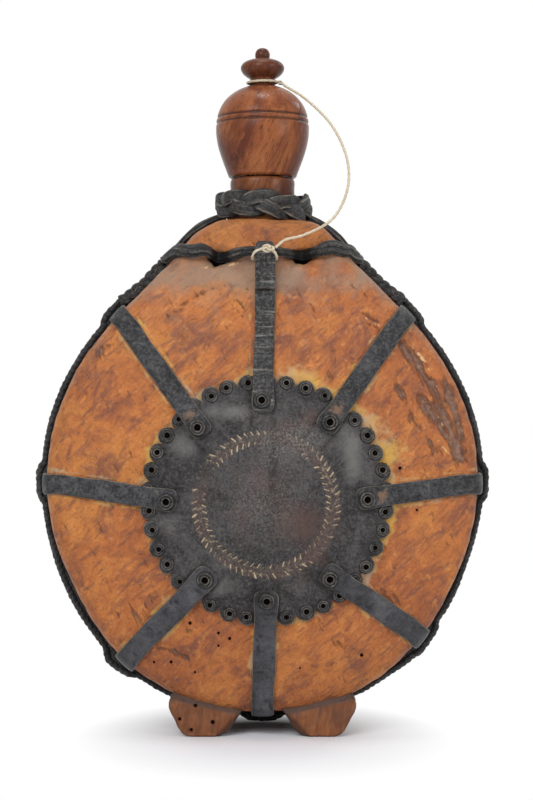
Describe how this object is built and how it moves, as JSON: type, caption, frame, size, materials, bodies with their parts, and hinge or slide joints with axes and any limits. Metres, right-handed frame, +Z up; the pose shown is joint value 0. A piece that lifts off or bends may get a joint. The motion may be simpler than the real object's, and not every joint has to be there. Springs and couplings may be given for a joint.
{
  "type": "drinking flask",
  "caption": "Round carved wooden flask on short feet, with a screw cap on a twine tether and a black leather harness of straps, braids and a round medallion.",
  "frame": {"origin": "on the floor under the middle of the flask's outline, between the four feet", "axes": "+Z up along the neck and cap, -Y out of the front face with the medallion, +X to the right seen from the front"},
  "size_m": [0.2226, 0.1078, 0.331],
  "materials": {
    "body_wood": "worn, waxed",
    "turned_wood": "polished",
    "black_leather": "worn, dusty",
    "pale_leather": "raw",
    "wax": "matt",
    "twine": "twisted cotton"
  },
  "bodies": {
    "flask": {"back_medallion": "black_leather", "back_rosette_bottom": "black_leather", "back_rosette_left": "black_leather", "back_rosette_lower_left": "black_leather", "back_rosette_lower_right": "black_leather", "back_rosette_right": "black_leather", "back_rosette_top": "black_leather", "back_rosette_upper_left": "black_leather", "back_rosette_upper_right": "black_leather", "back_top_strap": "black_leather", "closing_disc": "body_wood", "disc_seal": "wax", "flask_body": "body_wood", "front_medallion": "black_leather", "front_rosette_bottom": "black_leather", "front_rosette_left": "black_leather", "front_rosette_lower_left": "black_leather", "front_rosette_lower_right": "black_leather", "front_rosette_right": "black_leather", "front_rosette_top": "black_leather", "front_rosette_upper_left": "black_leather", "front_rosette_upper_right": "black_leather", "front_top_strap": "black_leather", "mouthpiece": "turned_wood", "mouthpiece_seal": "pale_leather", "neck_collar": "black_leather", "neck_thong_left": "black_leather", "neck_thong_right": "black_leather", "rim_cord": "black_leather", "shoulder_braid_left": "black_leather", "shoulder_braid_right": "black_leather", "shoulder_thong": "black_leather", "strap_bottom": "black_leather", "strap_left": "black_leather", "strap_lower_left": "black_leather", "strap_lower_right": "black_leather", "strap_right": "black_leather", "strap_upper_left": "black_leather", "strap_upper_right": "black_leather", "tether_hitch": "twine"},
    "tether": {"tether_loop": "twine", "tether_string": "twine"},
    "cap": {"cap": "turned_wood", "cap_seal": "pale_leather"}
  },
  "joints": [
    {"name": "cap_rise", "type": "slide", "parent": "flask", "child": "tether", "axis": [0, 0, 1], "range_m": [0, 0.03], "deforming": ["tether_string"]},
    {"name": "cap_turn", "type": "hinge", "parent": "tether", "child": "cap", "pos_m": [0, 0, 0.29], "axis": [0, 0, 1], "range_deg": [0, 1800]}
  ],
  "couplings": [
    {"joint": "cap_rise", "follows": "cap_turn", "m_per_rad": 0.00095493}
  ]
}
